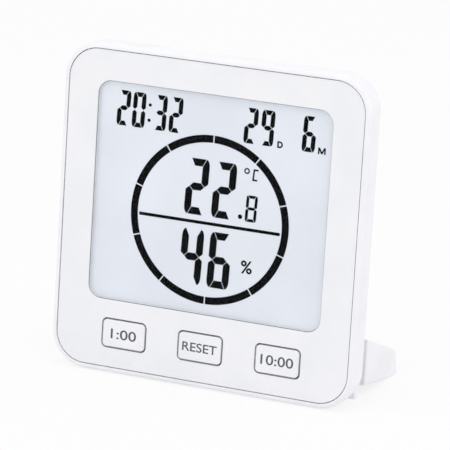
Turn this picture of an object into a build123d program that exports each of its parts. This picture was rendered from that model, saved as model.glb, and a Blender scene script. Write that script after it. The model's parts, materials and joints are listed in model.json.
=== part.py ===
"""Desk thermo-hygrometer with timer keys, a folding stand and a battery bay.

Millimetres. +Z is up, the display faces -Y, and the origin is at the middle of
the ground that it covers. The body leans back, so its pieces are drawn on planes
that lie parallel to the face plate: u runs right, v up, and depth runs back.
"""

from build123d import *
from math import cos, pi, radians, sin, sqrt, tan
import os

# Whole device
lean = 2.0                # backward lean of the body, degrees
plate_w = 80.0            # face plate, as seen inside its shadow line
plate_h = 81.4
plate_corner = 7.8
plate_gap = 0.25          # shadow line between face plate and rim
rim = 1.3                 # width of the rim round the face plate
rim_proud = 0.15          # rim stands above the plate
edge_round = 1.1          # rounding of the rim's front edge

# Front frame
frame_depth = 6.4         # from the plate's face to the seam
frame_wall = 1.8
plate_t = 1.0
floor_t = 1.2             # floor of the frame behind the plate
rabbet_depth = 1.0        # step at the seam that takes the cover's tongue
rabbet_w = 0.9
fit_gap = 0.1             # play between pieces that fit in each other
run_gap = 0.3             # room round pieces that move

# Display
window_side = 8.05        # from the plate's edges to the window
window_above = 7.65
window_below = 17.45
window_corner = 3.65
lens_recess = 0.3         # the lens lies this far below the plate's face
lens_t = 0.65
film_t = 0.2
film_margin = 1.2         # the front film reaches this far behind the plate
film_inset = 0.5          # the reflector ends this far inside the glass
glass_t = 0.6
glass_side = 1.95         # the glass reaches this far past the window
glass_ledge = 2.2         # ledge of the front glass above and below the rear one
glass_over = 3.15         # and this far above and below it
holder_wall = 1.0
holder_window = 3.2       # the holder's back web covers this much of the glass edge
zebra_w = 1.5
zebra_end = 2.9           # the strips end this far inside the glass

# Board
board_front = 5.0         # depth of the board's front face
board_t = 1.0
board_edge_gap = 0.5
board_low_gap = 5.45      # from the frame's inner wall to the board's lower edge
post_side = 2.35          # posts that carry the board, from the inner walls
post_above = 12.95
post_below = 16.45
post_r = 1.6
boss_side = 2.55          # bosses that take the housing screws, from the inner walls
boss_above = 6.45
boss_below = 29.45
boss_r = 2.1
boss_rise = 0.5           # bosses reach this far behind the seam
boss_floor = 0.6          # solid left under the hole of a boss
post_floor = 0.4
notch_gap = 0.4

# Front keys
key_pitch = 21.2
key_rise = 8.85           # from the plate's lower edge to the keys' middle
key_w = 11.6
key_h = 7.0
key_corner = 1.0
key_proud = 0.3
key_edge = 0.24
key_lip = 0.9             # side lips keep the key behind the floor
key_lip_t = 0.5
key_post_r = 1.5
key_post_t = 0.2
switch_w = 4.5
switch_t = 1.3
plunger_r = 1.1
plunger_t = 1.0
plunger_gap = 0.06
socket_room = 0.1         # left under a pressed plunger
key_travel = 0.5

# Rear cover
cover_inset = 0.35        # the cover's outline sits this far inside the frame's
flange_depth = 9.2        # depth of the cover's flat rear flange
flange_t = 1.4
flange_round = 2.2
hump_depth = 19.8         # depth of the rear face over the batteries
hump_t = 1.6
hump_w = 59.0
hump_above = 7.75         # from the body's upper and lower edges to the hump
hump_below = 29.35
hump_corner = 6.0
hump_draft = 8.0
hump_round = 2.0
tongue_t = 0.8
trough_skin = 1.2         # skin of the scooped trough round the hinge
trough_reach = 4.0
recess_depth = 0.5        # shallow recess above the trough, for the folded stand
recess_rise = 13.75

# Batteries, size AAA
cell_r = 5.25
cell_len = 44.5
cap_r = 1.9
cap_t = 0.8
cell_pitch = 11.0
cell_play = 0.5           # room above and below the two cells together
bay_rise = 17.4           # middle of the two cells above the hump's lower edge
bay_wall = 1.2
bay_floor = 1.0
bay_play = 0.2            # room along the cells
contact_t = 0.4
contact_h = 9.5
contact_rise = 4.2        # contacts reach this far behind the cells' axis
tab_w = 2.0
spring_len = 3.4
spring_wire = 0.5
spring_r = 3.0
spring_top_r = 2.2
spring_turns = 3.5
turn_steps = 12           # straight runs in each turn of a spring
wire_sides = 8

# Battery door
door_t = 1.3
door_margin = 1.3         # the door reaches past the bay walls
door_tongue = 0.9
door_tongue_t = 0.6
rail_t = 1.4
grip_u = -19.0
grip_count = 5
grip_pitch = 2.2
grip_len = 10.0
grip_w = 0.9
grip_depth = 0.45

# Rear keys
rear_key_side = 6.35      # from the body's side to the keys' middle
rear_key_vs = {"set": 20.0, "up": 11.0, "down": 2.0}
rear_key_r = 2.3
rear_key_proud = 0.5
rear_key_edge = 0.4
rear_lip = 0.7
rear_lip_t = 0.4
rear_switch_w = 4.0
rear_switch_t = 0.8
rear_plunger_r = 0.9
rear_plunger_t = 0.8
rear_socket_floor = 0.05

# Openings of the rear cover
vent_side = 6.35
vent_w = 6.0
vent_h = 1.2
vent_pitch = 2.6
vent_count = 8
vent_v = 11.0
sound_hole_r = 0.7
sound_ring_r = 3.0
sound_ring_count = 6
keyhole_below = 10.5      # middle of its round entry below the hump's top
keyhole_r = 3.5
keyhole_slot_r = 1.8
keyhole_rise = 5.0

# Parts on the board
buzzer_side = 11.5        # from the hump's side and top
buzzer_below = 9.0
buzzer_r = 6.0
buzzer_h = 4.5
buzzer_edge = 0.4
buzzer_hole = 1.0         # depth of the hole in its top
blob_side = 14.5
blob_below = 8.5
blob_r = 6.0
blob_h = 1.6
crystal_r = 1.0
crystal_len = 6.0
crystal_gap = 2.0         # from the drop of resin to the crystal
sensor_w = 3.0
sensor_t = 1.0
sensor_hole_r = 0.75
sensor_hole_depth = 0.3
sensor_row = 1.0          # rows of the vents above their middle
bead_r = 1.1
bead_row = -2.5

# Screws
screw_r = 1.0
screw_head_r = 1.8
screw_head_t = 1.0
board_screw_r = 0.8
board_screw_head_r = 1.5
board_screw_head_t = 0.9
screw_gap = 0.1
screw_end = 1.0           # a screw ends this far behind the frame's floor
cross_len = 2.2
cross_w = 0.6
cross_depth = 0.5

# Stand
hinge_depth = 16.8        # the stand's pivot, behind the plate's face
hinge_rise = 6.05         # and above the body's lower edge
lug_r = 2.0
lug_w = 6.0
lug_u = 21.0
knuckle_w = 3.2
slot_room = 1.2           # behind the lugs, so that the folded stand clears them
pin_r = 0.9
pin_gap = 0.05
stand_inset = 3.15        # the stand's sides lie this far inside the body's
stand_front = 17.4        # depth of the stand's front wall
stand_front_rise = 2.95   # lower and upper edge of that wall above the body's lower edge
stand_top_rise = 14.95
stand_tip = 40.5          # depth of the stand's far end
stand_tip_h = 6.8
stand_tip_lean = 2.2
stand_sole = 4.5          # flat of the sole at the far end
stand_wall = 1.6
stand_rib = 1.2
rib_off = 11.0            # ribs stand this far from the lugs' middles
stand_edge = 0.5          # rounding of the side edges
tip_round = 2.5
cut_past = 1.0            # open cuts run this far past the surface

# Sizes that follow
body_w = plate_w + 2 * (plate_gap + rim)
body_h = plate_h + 2 * (plate_gap + rim)
body_corner = plate_corner + plate_gap + rim
inner_w = body_w - 2 * frame_wall
inner_h = body_h - 2 * frame_wall
inner_corner = body_corner - frame_wall
floor_back = plate_t + floor_t
board_back = board_front + board_t
ground_v = -body_h / 2    # the body stands on the lower edge of the seam
window_w = plate_w - 2 * window_side
window_h = plate_h - window_above - window_below
window_v = (window_below - window_above) / 2
lens_w = window_w - 2 * fit_gap
lens_h = window_h - 2 * fit_gap
film_w = window_w + 2 * film_margin
film_h = window_h + 2 * film_margin
glass_w = window_w + 2 * glass_side
glass_h = window_h + 2 * glass_over
zebra_len = glass_w - 2 * zebra_end
board_bottom = board_low_gap - inner_h / 2
post_u = inner_w / 2 - post_side
post_vs = (inner_h / 2 - post_above, post_below - inner_h / 2)
boss_u = inner_w / 2 - boss_side
boss_vs = (inner_h / 2 - boss_above, boss_below - inner_h / 2)
key_v = key_rise - plate_h / 2
hump_top = body_h / 2 - hump_above
hump_bottom = ground_v + hump_below
bay_v = hump_bottom + bay_rise
rear_key_u = body_w / 2 - rear_key_side
vent_u = vent_side - body_w / 2
keyhole_v = hump_top - keyhole_below
buzzer_u = hump_w / 2 - buzzer_side
buzzer_v = hump_top - buzzer_below
blob_u = blob_side - hump_w / 2
blob_v = hump_top - blob_below
hinge_v = ground_v + hinge_rise
stand_w = body_w - 2 * stand_inset
stand_front_low = ground_v + stand_front_rise
stand_front_high = ground_v + stand_top_rise


def ground_at(depth):
    """Height v of the ground at a depth behind the plate's face."""
    return ground_v + (depth - frame_depth) * tan(radians(lean))


# The body stands on the ground, and the origin is in the middle of its footprint
lean_c = cos(radians(lean))
lean_s = sin(radians(lean))
face_z = body_h / 2 * lean_c + frame_depth * lean_s
front_y = -rim_proud * lean_c - (body_h / 2 - edge_round) * lean_s
back_y = stand_tip * lean_c + ground_at(stand_tip) * lean_s
FACE = Plane(
    origin=(0, -(front_y + back_y) / 2, face_z),
    x_dir=(1, 0, 0),
    z_dir=(0, -lean_c, lean_s),
)
# Side views are drawn as (depth, v) on this plane
SIDE = Plane(origin=FACE.origin, x_dir=-FACE.z_dir, z_dir=(1, 0, 0))
BACK = Axis(FACE.origin, -FACE.z_dir)


def at(depth):
    """Plane parallel to the plate's face, at a depth behind it."""
    return FACE.offset(-depth)


os.makedirs("parts", exist_ok=True)


def save(part, name):
    """Label a finished piece and write it."""
    part.label = name
    export_step(part, f"parts/{name}.step")


boss_points = [(side * boss_u, v) for side in (-1, 1) for v in boss_vs]
post_points = [(side * post_u, v) for side in (-1, 1) for v in post_vs]
key_points = [(-key_pitch, key_v), (0, key_v), (key_pitch, key_v)]
boss_back = frame_depth + boss_rise
screw_seat = flange_depth - screw_head_t - screw_gap
lug_us = [side * lug_u for side in (-1, 1)]

# Front frame: a shallow moulded tray with a rim round the face plate
with BuildPart() as front_frame:
    with BuildSketch(at(-rim_proud)):
        RectangleRounded(body_w, body_h, body_corner)
    extrude(amount=-(frame_depth + rim_proud))
    fillet(front_frame.faces().sort_by(BACK)[0].edges(), edge_round)
    with BuildSketch(at(-rim_proud)):
        pocket_grow = 2 * plate_gap
        RectangleRounded(plate_w + pocket_grow, plate_h + pocket_grow, plate_corner + plate_gap)
    extrude(amount=-(plate_t + rim_proud), mode=Mode.SUBTRACT)
    with BuildSketch(at(floor_back)):
        RectangleRounded(inner_w, inner_h, inner_corner)
    extrude(amount=-(frame_depth - floor_back), mode=Mode.SUBTRACT)
    with BuildSketch(at(frame_depth)):
        RectangleRounded(inner_w + 2 * rabbet_w, inner_h + 2 * rabbet_w, inner_corner + rabbet_w)
    extrude(amount=rabbet_depth, mode=Mode.SUBTRACT)
    with BuildSketch(at(floor_back)):
        with Locations((0, window_v)):
            Rectangle(glass_w + 2 * fit_gap, glass_h + 2 * fit_gap)
        with Locations(*key_points):
            RectangleRounded(key_w + 2 * run_gap, key_h + 2 * run_gap, key_corner + run_gap)
    extrude(amount=floor_t, mode=Mode.SUBTRACT)
    with BuildSketch(at(floor_back)):
        with Locations(*boss_points):
            Circle(boss_r)
    extrude(amount=-(boss_back - floor_back))
    with BuildSketch(at(floor_back)):
        with Locations(*post_points):
            Circle(post_r)
    extrude(amount=-(board_front - floor_back))
    with BuildSketch(at(boss_back)):
        with Locations(*boss_points):
            Circle(screw_r)
    extrude(amount=boss_back - floor_back - boss_floor, mode=Mode.SUBTRACT)
    with BuildSketch(at(board_front)):
        with Locations(*post_points):
            Circle(board_screw_r)
    extrude(amount=board_front - floor_back - post_floor, mode=Mode.SUBTRACT)
save(front_frame.part, "front_frame")

# Face plate with the display window and three key openings
with BuildPart() as front_plate:
    with BuildSketch(at(plate_t)):
        RectangleRounded(plate_w, plate_h, plate_corner)
        with Locations((0, window_v)):
            RectangleRounded(window_w, window_h, window_corner, mode=Mode.SUBTRACT)
        with Locations(*key_points):
            RectangleRounded(
                key_w + 2 * run_gap, key_h + 2 * run_gap, key_corner + run_gap, mode=Mode.SUBTRACT
            )
    extrude(amount=plate_t)
save(front_plate.part, "front_plate")

# Clear lens in the window
with BuildPart() as display_window:
    with BuildSketch(at(lens_recess + lens_t)):
        with Locations((0, window_v)):
            RectangleRounded(lens_w, lens_h, window_corner - fit_gap)
    extrude(amount=lens_t)
save(display_window.part, "display_window")

# Liquid crystal cell: two glasses, a polariser in front and a reflector behind
glass_front = plate_t + film_t
with BuildPart() as front_polariser:
    with BuildSketch(at(glass_front)):
        with Locations((0, window_v)):
            RectangleRounded(film_w, film_h, window_corner)
    extrude(amount=film_t)
save(front_polariser.part, "front_polariser")

rear_glass_h = glass_h - 2 * glass_ledge
with BuildPart() as lcd_front_glass:
    with BuildSketch(at(glass_front + glass_t)):
        with Locations((0, window_v)):
            Rectangle(glass_w, glass_h)
    extrude(amount=glass_t)
save(lcd_front_glass.part, "lcd_front_glass")

with BuildPart() as lcd_rear_glass:
    with BuildSketch(at(glass_front + 2 * glass_t)):
        with Locations((0, window_v)):
            Rectangle(glass_w, rear_glass_h)
    extrude(amount=glass_t)
save(lcd_rear_glass.part, "lcd_rear_glass")

film_back = glass_front + 2 * glass_t + film_t
with BuildPart() as rear_reflector:
    with BuildSketch(at(film_back)):
        with Locations((0, window_v)):
            Rectangle(glass_w - 2 * film_inset, rear_glass_h - 2 * film_inset)
    extrude(amount=film_t)
save(rear_reflector.part, "rear_reflector")

# Holder: a tray that keeps the glass against the frame and guides the strips
zebra_offset = (rear_glass_h + glass_h) / 4
with BuildPart() as lcd_holder:
    with BuildSketch(at(board_front)):
        with Locations((0, window_v)):
            Rectangle(glass_w + 2 * (fit_gap + holder_wall), glass_h + 2 * (fit_gap + holder_wall))
            Rectangle(glass_w - 2 * holder_window, rear_glass_h - 2 * holder_window, mode=Mode.SUBTRACT)
        with Locations((0, window_v + zebra_offset), (0, window_v - zebra_offset)):
            Rectangle(zebra_len + 2 * fit_gap, zebra_w + 2 * fit_gap, mode=Mode.SUBTRACT)
        with Locations(*boss_points):
            Circle(boss_r + notch_gap / 2, mode=Mode.SUBTRACT)
    extrude(amount=board_front - floor_back)
    with BuildSketch(at(film_back + fit_gap)):
        with Locations((0, window_v)):
            Rectangle(glass_w + 2 * fit_gap, glass_h + 2 * fit_gap)
    extrude(amount=film_back + fit_gap - floor_back, mode=Mode.SUBTRACT)
save(lcd_holder.part, "lcd_holder")

# Conductive rubber strips between the glass ledges and the board
with BuildPart() as zebra_strips:
    with BuildSketch(at(board_front)):
        with Locations((0, window_v + zebra_offset), (0, window_v - zebra_offset)):
            Rectangle(zebra_len, zebra_w)
    extrude(amount=board_front - glass_front - glass_t)
save(zebra_strips.part, "zebra_strips")

# Circuit board, cut away round the screw bosses
board_w = inner_w - 2 * board_edge_gap
board_top = inner_h / 2 - board_edge_gap
with BuildPart() as circuit_board:
    with BuildSketch(at(board_back)):
        with Locations((0, (board_top + board_bottom) / 2)):
            RectangleRounded(board_w, board_top - board_bottom, inner_corner - board_edge_gap)
        with Locations(*boss_points):
            Circle(boss_r + notch_gap, mode=Mode.SUBTRACT)
        with Locations(*[(side * (boss_u + boss_r), v) for side in (-1, 1) for v in boss_vs]):
            Rectangle(2 * boss_r, 2 * (boss_r + notch_gap), mode=Mode.SUBTRACT)
        with Locations(*post_points):
            Circle(board_screw_r + screw_gap, mode=Mode.SUBTRACT)
    extrude(amount=board_t)
save(circuit_board.part, "circuit_board")

# Front keys: cap, side lips and post, with the plunger and body of each switch
cap_back = floor_back + run_gap
lip_back = cap_back + key_lip_t
plunger_front = lip_back + key_post_t
plunger_back = plunger_front + plunger_t
for key_name, (key_u, _) in zip(("minute", "clear", "tens"), key_points):
    with BuildPart() as key:
        with BuildSketch(at(cap_back)):
            with Locations((key_u, key_v)):
                RectangleRounded(key_w, key_h, key_corner)
        extrude(amount=cap_back + key_proud)
        fillet(key.faces().sort_by(BACK)[0].edges(), key_edge)
        with BuildSketch(at(lip_back)):
            with Locations((key_u, key_v)):
                Rectangle(key_w + 2 * key_lip, key_h - 2 * key_lip)
        extrude(amount=key_lip_t)
        with BuildSketch(at(plunger_front)):
            with Locations((key_u, key_v)):
                Circle(key_post_r)
        extrude(amount=key_post_t)
    save(key.part, f"{key_name}_key")
    with BuildPart() as plunger:
        with BuildSketch(at(plunger_back)):
            with Locations((key_u, key_v)):
                Circle(plunger_r)
        extrude(amount=plunger_t)
    save(plunger.part, f"{key_name}_plunger")

with BuildPart() as front_switches:
    with BuildSketch(at(board_front)):
        with Locations(*key_points):
            Rectangle(switch_w, switch_w)
    extrude(amount=switch_t)
    with BuildSketch(at(plunger_back + key_travel + socket_room)):
        with Locations(*key_points):
            Circle(plunger_r + plunger_gap)
    extrude(amount=switch_t, mode=Mode.SUBTRACT)
save(front_switches.part, "front_switches")

# Rear keys: round caps held behind the flange by a lip
flange_inner = flange_depth - flange_t
rear_lip_back = flange_inner - run_gap
rear_lip_front = rear_lip_back - rear_lip_t
rear_key_points = [(rear_key_u, v) for v in rear_key_vs.values()]
for key_name, v in rear_key_vs.items():
    with BuildPart() as rear_key:
        with BuildSketch(at(flange_depth + rear_key_proud)):
            with Locations((rear_key_u, v)):
                Circle(rear_key_r)
        extrude(amount=flange_depth + rear_key_proud - rear_lip_back)
        fillet(rear_key.faces().sort_by(BACK)[-1].edges(), rear_key_edge)
        with BuildSketch(at(rear_lip_back)):
            with Locations((rear_key_u, v)):
                Circle(rear_key_r + rear_lip)
        extrude(amount=rear_lip_t)
    save(rear_key.part, f"{key_name}_key")
    with BuildPart() as rear_plunger:
        with BuildSketch(at(rear_lip_front)):
            with Locations((rear_key_u, v)):
                Circle(rear_plunger_r)
        extrude(amount=rear_plunger_t)
    save(rear_plunger.part, f"{key_name}_plunger")

with BuildPart() as rear_switches:
    with BuildSketch(at(board_back + rear_switch_t)):
        with Locations(*rear_key_points):
            Rectangle(rear_switch_w, rear_switch_w)
    extrude(amount=rear_switch_t)
    with BuildSketch(at(board_back + rear_switch_t)):
        with Locations(*rear_key_points):
            Circle(rear_plunger_r + plunger_gap)
    extrude(amount=rear_switch_t - rear_socket_floor, mode=Mode.SUBTRACT)
save(rear_switches.part, "rear_switches")

# Parts on the back of the board
with BuildPart() as buzzer:
    with BuildSketch(at(board_back + buzzer_h)):
        with Locations((buzzer_u, buzzer_v)):
            Circle(buzzer_r)
    extrude(amount=buzzer_h)
    fillet(buzzer.faces().sort_by(BACK)[-1].edges(), buzzer_edge)
    with BuildSketch(at(board_back + buzzer_h)):
        with Locations((buzzer_u, buzzer_v)):
            Circle(sound_hole_r)
    extrude(amount=buzzer_hole, mode=Mode.SUBTRACT)
save(buzzer.part, "buzzer")


def dome_on_board(name, u, v, radius, height):
    """A drop of resin on the back of the board, turned about its own axis."""
    with BuildPart() as dome:
        with BuildSketch(SIDE.offset(u)):
            with BuildLine():
                Polyline((board_back + height, v), (board_back, v), (board_back, v + radius))
                bulge = (radius**2 + height**2) / (2 * height)
                RadiusArc((board_back, v + radius), (board_back + height, v), bulge)
            make_face()
        axle = SIDE.offset(u).from_local_coords(Vector(board_back, v, 0))
        revolve(axis=Axis(axle, BACK.direction))
    save(dome.part, name)


dome_on_board("controller_blob", blob_u, blob_v, blob_r, blob_h)
dome_on_board("temperature_sensor", vent_u, vent_v + bead_row * vent_pitch, bead_r, bead_r)

with BuildPart() as quartz_crystal:
    with BuildSketch(SIDE.offset(blob_u + blob_r + crystal_gap)):
        with Locations((board_back + crystal_r, blob_v)):
            Circle(crystal_r)
    extrude(amount=crystal_len)
save(quartz_crystal.part, "quartz_crystal")

with BuildPart() as humidity_sensor:
    with BuildSketch(at(board_back + sensor_t)):
        with Locations((vent_u, vent_v + sensor_row * vent_pitch)):
            Rectangle(sensor_w, sensor_w)
    extrude(amount=sensor_t)
    with BuildSketch(at(board_back + sensor_t)):
        with Locations((vent_u, vent_v + sensor_row * vent_pitch)):
            Circle(sensor_hole_r)
    extrude(amount=sensor_hole_depth, mode=Mode.SUBTRACT)
save(humidity_sensor.part, "humidity_sensor")

# Battery bay, worked out from two cells lying one above the other
hump_inner = hump_depth - hump_t
hump_h = hump_top - hump_bottom
hump_v = (hump_top + hump_bottom) / 2
bay_len = cell_len + spring_len + 2 * contact_t + bay_play
bay_h = cell_pitch + 2 * cell_r + cell_play
bay_front = board_back + run_gap
bay_back = bay_front + bay_floor
cell_depth = bay_back + cell_r + fit_gap
door_h = bay_h + 2 * (bay_wall + door_margin)
door_right = bay_len / 2 + bay_wall + door_margin
door_front = hump_depth - door_t
ledge_depth = door_front - fit_gap
cell_vs = (bay_v + cell_pitch / 2, bay_v - cell_pitch / 2)
lug_root = bay_front + lug_r + fit_gap
contact_u = -(bay_len - contact_t) / 2


# The drafted housing over the batteries, from which cover and door are both made
with BuildPart() as hump:
    with BuildSketch(at(flange_inner)):
        with Locations((0, hump_v)):
            RectangleRounded(hump_w, hump_h, hump_corner)
    extrude(amount=-(hump_depth - flange_inner), taper=hump_draft)
    fillet(hump.faces().sort_by(BACK)[-1].edges(), hump_round)

# Rear cover: a moulded shell with battery bay, hinge lugs, vents and keyhole
with BuildPart() as rear_cover:
    with BuildSketch(at(frame_depth)):
        RectangleRounded(body_w - 2 * cover_inset, body_h - 2 * cover_inset, body_corner - cover_inset)
    extrude(amount=-(flange_depth - frame_depth))
    fillet(rear_cover.faces().sort_by(BACK)[-1].edges(), flange_round)
    add(hump.part)
    with BuildSketch(at(frame_depth)):
        RectangleRounded(inner_w, inner_h, inner_corner)
    extrude(amount=-(flange_inner - frame_depth), mode=Mode.SUBTRACT)
    with BuildSketch(at(flange_inner)):
        with Locations((0, hump_v)):
            RectangleRounded(hump_w - 2 * hump_t, hump_h - 2 * hump_t, hump_corner - hump_t)
    extrude(amount=-(hump_inner - flange_inner), taper=hump_draft, mode=Mode.SUBTRACT)
    # tongue that seats in the frame's step
    with BuildSketch(at(frame_depth)):
        RectangleRounded(inner_w + 2 * tongue_t, inner_h + 2 * tongue_t, inner_corner + tongue_t)
        RectangleRounded(inner_w, inner_h, inner_corner, mode=Mode.SUBTRACT)
    extrude(amount=rabbet_depth - fit_gap)
    # scooped hinge trough below the hump, with its skin inside the shell
    with BuildSketch(SIDE.offset(-inner_w / 2)):
        with Locations((hinge_depth, hinge_v)):
            Circle(hinge_depth - bay_front)
        with Locations((frame_depth + trough_skin, hinge_v)):
            Rectangle(2 * trough_skin, inner_h / 2 + hinge_v + trough_reach, mode=Mode.INTERSECT)
    extrude(amount=inner_w)
    with BuildSketch(SIDE.offset(-stand_w / 2 - run_gap)):
        with Locations((hinge_depth, hinge_v)):
            Circle(hinge_depth - bay_front - bay_wall)
    extrude(amount=stand_w + 2 * run_gap, mode=Mode.SUBTRACT)
    with BuildSketch(at(flange_depth)):
        with Locations((0, (hinge_v + ground_v + recess_rise) / 2)):
            Rectangle(stand_w + 2 * run_gap, ground_v + recess_rise - hinge_v)
    extrude(amount=recess_depth, mode=Mode.SUBTRACT)
    # hinge lugs
    for u in lug_us:
        with BuildSketch(SIDE.offset(u - lug_w / 2)):
            with Locations(((lug_root + hinge_depth) / 2, hinge_v)):
                SlotCenterToCenter(hinge_depth - lug_root, 2 * lug_r)
            with Locations((hinge_depth, hinge_v)):
                Circle(pin_r, mode=Mode.SUBTRACT)
        extrude(amount=lug_w)
    # seats for the housing screws
    with BuildSketch(at(boss_back)):
        with Locations(*boss_points):
            Circle(boss_r + fit_gap)
    extrude(amount=-(flange_inner - boss_back))
    with BuildSketch(at(boss_back)):
        with Locations(*boss_points):
            Circle(screw_r + screw_gap)
    extrude(amount=-(flange_depth - boss_back), mode=Mode.SUBTRACT)
    with BuildSketch(at(screw_seat)):
        with Locations(*boss_points):
            Circle(screw_head_r + screw_gap)
    extrude(amount=-(flange_depth - screw_seat), mode=Mode.SUBTRACT)
    # battery bay with a floor, four walls and the rails of the door
    with BuildSketch(at(bay_front)):
        with Locations((0, bay_v)):
            Rectangle(bay_len + 2 * bay_wall, bay_h + 2 * bay_wall)
    extrude(amount=-(ledge_depth - bay_front))
    with BuildSketch(at(ledge_depth)):
        with Locations((0, bay_v)):
            Rectangle(2 * door_right, door_h + 2 * (door_tongue + bay_wall))
    extrude(amount=rail_t)
    with BuildSketch(at(bay_back)):
        with Locations((0, bay_v)):
            Rectangle(bay_len, bay_h)
    extrude(amount=-(hump_depth - bay_back), mode=Mode.SUBTRACT)
    with BuildSketch(at(ledge_depth)):
        with Locations(((door_right + fit_gap - hump_w / 2) / 2, bay_v)):
            Rectangle(hump_w / 2 + door_right + fit_gap, door_h + 2 * fit_gap)
    extrude(amount=-(hump_depth - ledge_depth), mode=Mode.SUBTRACT)
    with BuildSketch(at(ledge_depth)):
        with Locations(((door_right + fit_gap - hump_w / 2) / 2, bay_v)):
            Rectangle(hump_w / 2 + door_right + fit_gap, door_h + 2 * (door_tongue + fit_gap))
    extrude(amount=-(door_tongue_t + 2 * fit_gap), mode=Mode.SUBTRACT)
    # slots in the bay floor for the tabs of the contacts
    with BuildSketch(at(bay_front)):
        with Locations(*[(contact_u, v) for v in cell_vs]):
            Rectangle(contact_t + 2 * fit_gap, tab_w + 2 * fit_gap)
    extrude(amount=-bay_floor, mode=Mode.SUBTRACT)
    # rear keys, vents, sound holes and keyhole
    with BuildSketch(at(flange_inner)):
        with Locations(*rear_key_points):
            Circle(rear_key_r + run_gap)
        with Locations((vent_u, vent_v)):
            with GridLocations(0, vent_pitch, 1, vent_count):
                SlotOverall(vent_w, vent_h)
    extrude(amount=-flange_t, mode=Mode.SUBTRACT)
    with BuildSketch(at(hump_inner)):
        with Locations((buzzer_u, buzzer_v)):
            Circle(sound_hole_r)
            with PolarLocations(sound_ring_r, sound_ring_count):
                Circle(sound_hole_r)
        with Locations((0, keyhole_v)):
            Circle(keyhole_r)
        with Locations((0, keyhole_v + keyhole_rise / 2)):
            SlotCenterToCenter(keyhole_rise, 2 * keyhole_slot_r, rotation=90)
    extrude(amount=-hump_t, mode=Mode.SUBTRACT)
save(rear_cover.part, "rear_cover")

# Battery door: cut from the hump's own form, with side tongues and grip grooves
with BuildPart() as battery_door:
    add(hump.part)
    with BuildSketch(at(door_front)):
        with Locations(((door_right - hump_w / 2) / 2, bay_v)):
            Rectangle(hump_w / 2 + door_right, door_h)
    extrude(amount=-door_t, mode=Mode.INTERSECT)
    door_left = battery_door.part.bounding_box().min.X
    with BuildSketch(at(door_front)):
        with Locations(((door_right + door_left + hump_round) / 2, bay_v)):
            Rectangle(door_right - door_left - hump_round, door_h + 2 * door_tongue)
    extrude(amount=-door_tongue_t)
    with BuildSketch(at(hump_depth)):
        with Locations((grip_u, bay_v)):
            with GridLocations(grip_pitch, 0, grip_count, 1):
                SlotOverall(grip_len, grip_w, rotation=90)
    extrude(amount=grip_depth, mode=Mode.SUBTRACT)
save(battery_door.part, "battery_door")

# Two cells lying side by side, turned opposite ways
for cell_name, v, turn in (("upper_cell", cell_vs[0], 1), ("lower_cell", cell_vs[1], -1)):
    cap_end = turn * (bay_len / 2 - contact_t - bay_play / 2)
    with BuildPart() as cell:
        with BuildSketch(SIDE.offset(cap_end - turn * cap_t)):
            with Locations((cell_depth, v)):
                Circle(cell_r)
        extrude(amount=-turn * (cell_len - cap_t))
        with BuildSketch(SIDE.offset(cap_end - turn * cap_t)):
            with Locations((cell_depth, v)):
                Circle(cap_r)
        extrude(amount=turn * cap_t)
    save(cell.part, cell_name)

# Contact plates: two with tabs to the board on the left, a link on the right
contact_deep = cell_depth + contact_rise
with BuildPart() as battery_contacts:
    with BuildSketch(SIDE.offset(-bay_len / 2)):
        for v in cell_vs:
            with Locations(((bay_back + contact_deep) / 2, v)):
                Rectangle(contact_deep - bay_back, contact_h)
            with Locations(((board_back + bay_back) / 2, v)):
                Rectangle(bay_back - board_back, tab_w)
    extrude(amount=contact_t)
save(battery_contacts.part, "battery_contacts")

with BuildPart() as link_contact:
    with BuildSketch(SIDE.offset(bay_len / 2 - contact_t)):
        with Locations(((bay_back + contact_deep) / 2, bay_v)):
            Rectangle(contact_deep - bay_back, cell_pitch + contact_h)
    extrude(amount=contact_t)
save(link_contact.part, "link_contact")

# Conical springs at the flat end of each cell, their wire drawn in short straight runs
spring_rise = (spring_len - spring_wire) / (spring_turns * turn_steps)
spring_narrow = (spring_r - spring_top_r) / (spring_turns * turn_steps)
with BuildPart() as battery_springs:
    for v, turn in zip(cell_vs, (-1, 1)):
        spring_foot = turn * (bay_len / 2 - contact_t - spring_wire / 2)
        spiral = []
        for step in range(int(spring_turns * turn_steps) + 1):
            angle = 2 * pi * step / turn_steps
            r = spring_r - spring_narrow * step
            at_depth = cell_depth + r * cos(angle)
            plane = SIDE.offset(spring_foot - turn * spring_rise * step)
            spiral.append(plane.from_local_coords(Vector(at_depth, v + r * sin(angle), 0)))
        with BuildLine():
            coil = Polyline(*spiral)
        with BuildSketch(Plane(origin=coil @ 0, z_dir=coil % 0)):
            RegularPolygon(spring_wire / 2, wire_sides)
        sweep(path=coil, transition=Transition.RIGHT)
save(battery_springs.part, "battery_springs")

# Screws
with BuildPart() as housing_screws:
    with BuildSketch(at(screw_seat)):
        with Locations(*boss_points):
            Circle(screw_head_r)
    extrude(amount=-screw_head_t)
    with BuildSketch(at(screw_seat)):
        with Locations(*boss_points):
            Circle(screw_r)
    extrude(amount=screw_seat - floor_back - screw_end)
    with BuildSketch(at(screw_seat + screw_head_t)):
        with Locations(*boss_points):
            Rectangle(cross_len, cross_w)
            Rectangle(cross_w, cross_len)
    extrude(amount=cross_depth, mode=Mode.SUBTRACT)
save(housing_screws.part, "housing_screws")

with BuildPart() as board_screws:
    with BuildSketch(at(board_back)):
        with Locations(*post_points):
            Circle(board_screw_head_r)
    extrude(amount=-board_screw_head_t)
    with BuildSketch(at(board_back)):
        with Locations(*post_points):
            Circle(board_screw_r)
    extrude(amount=board_back - floor_back - screw_end)
save(board_screws.part, "board_screws")

# Stand: a ribbed wedge, open below, that swings up against the flange
sole_start = stand_tip - stand_sole
tip_top = (stand_tip - stand_tip_lean, ground_at(stand_tip) + stand_tip_h)
top_fall = (stand_front_high - tip_top[1]) / (tip_top[0] - stand_front)


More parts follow.
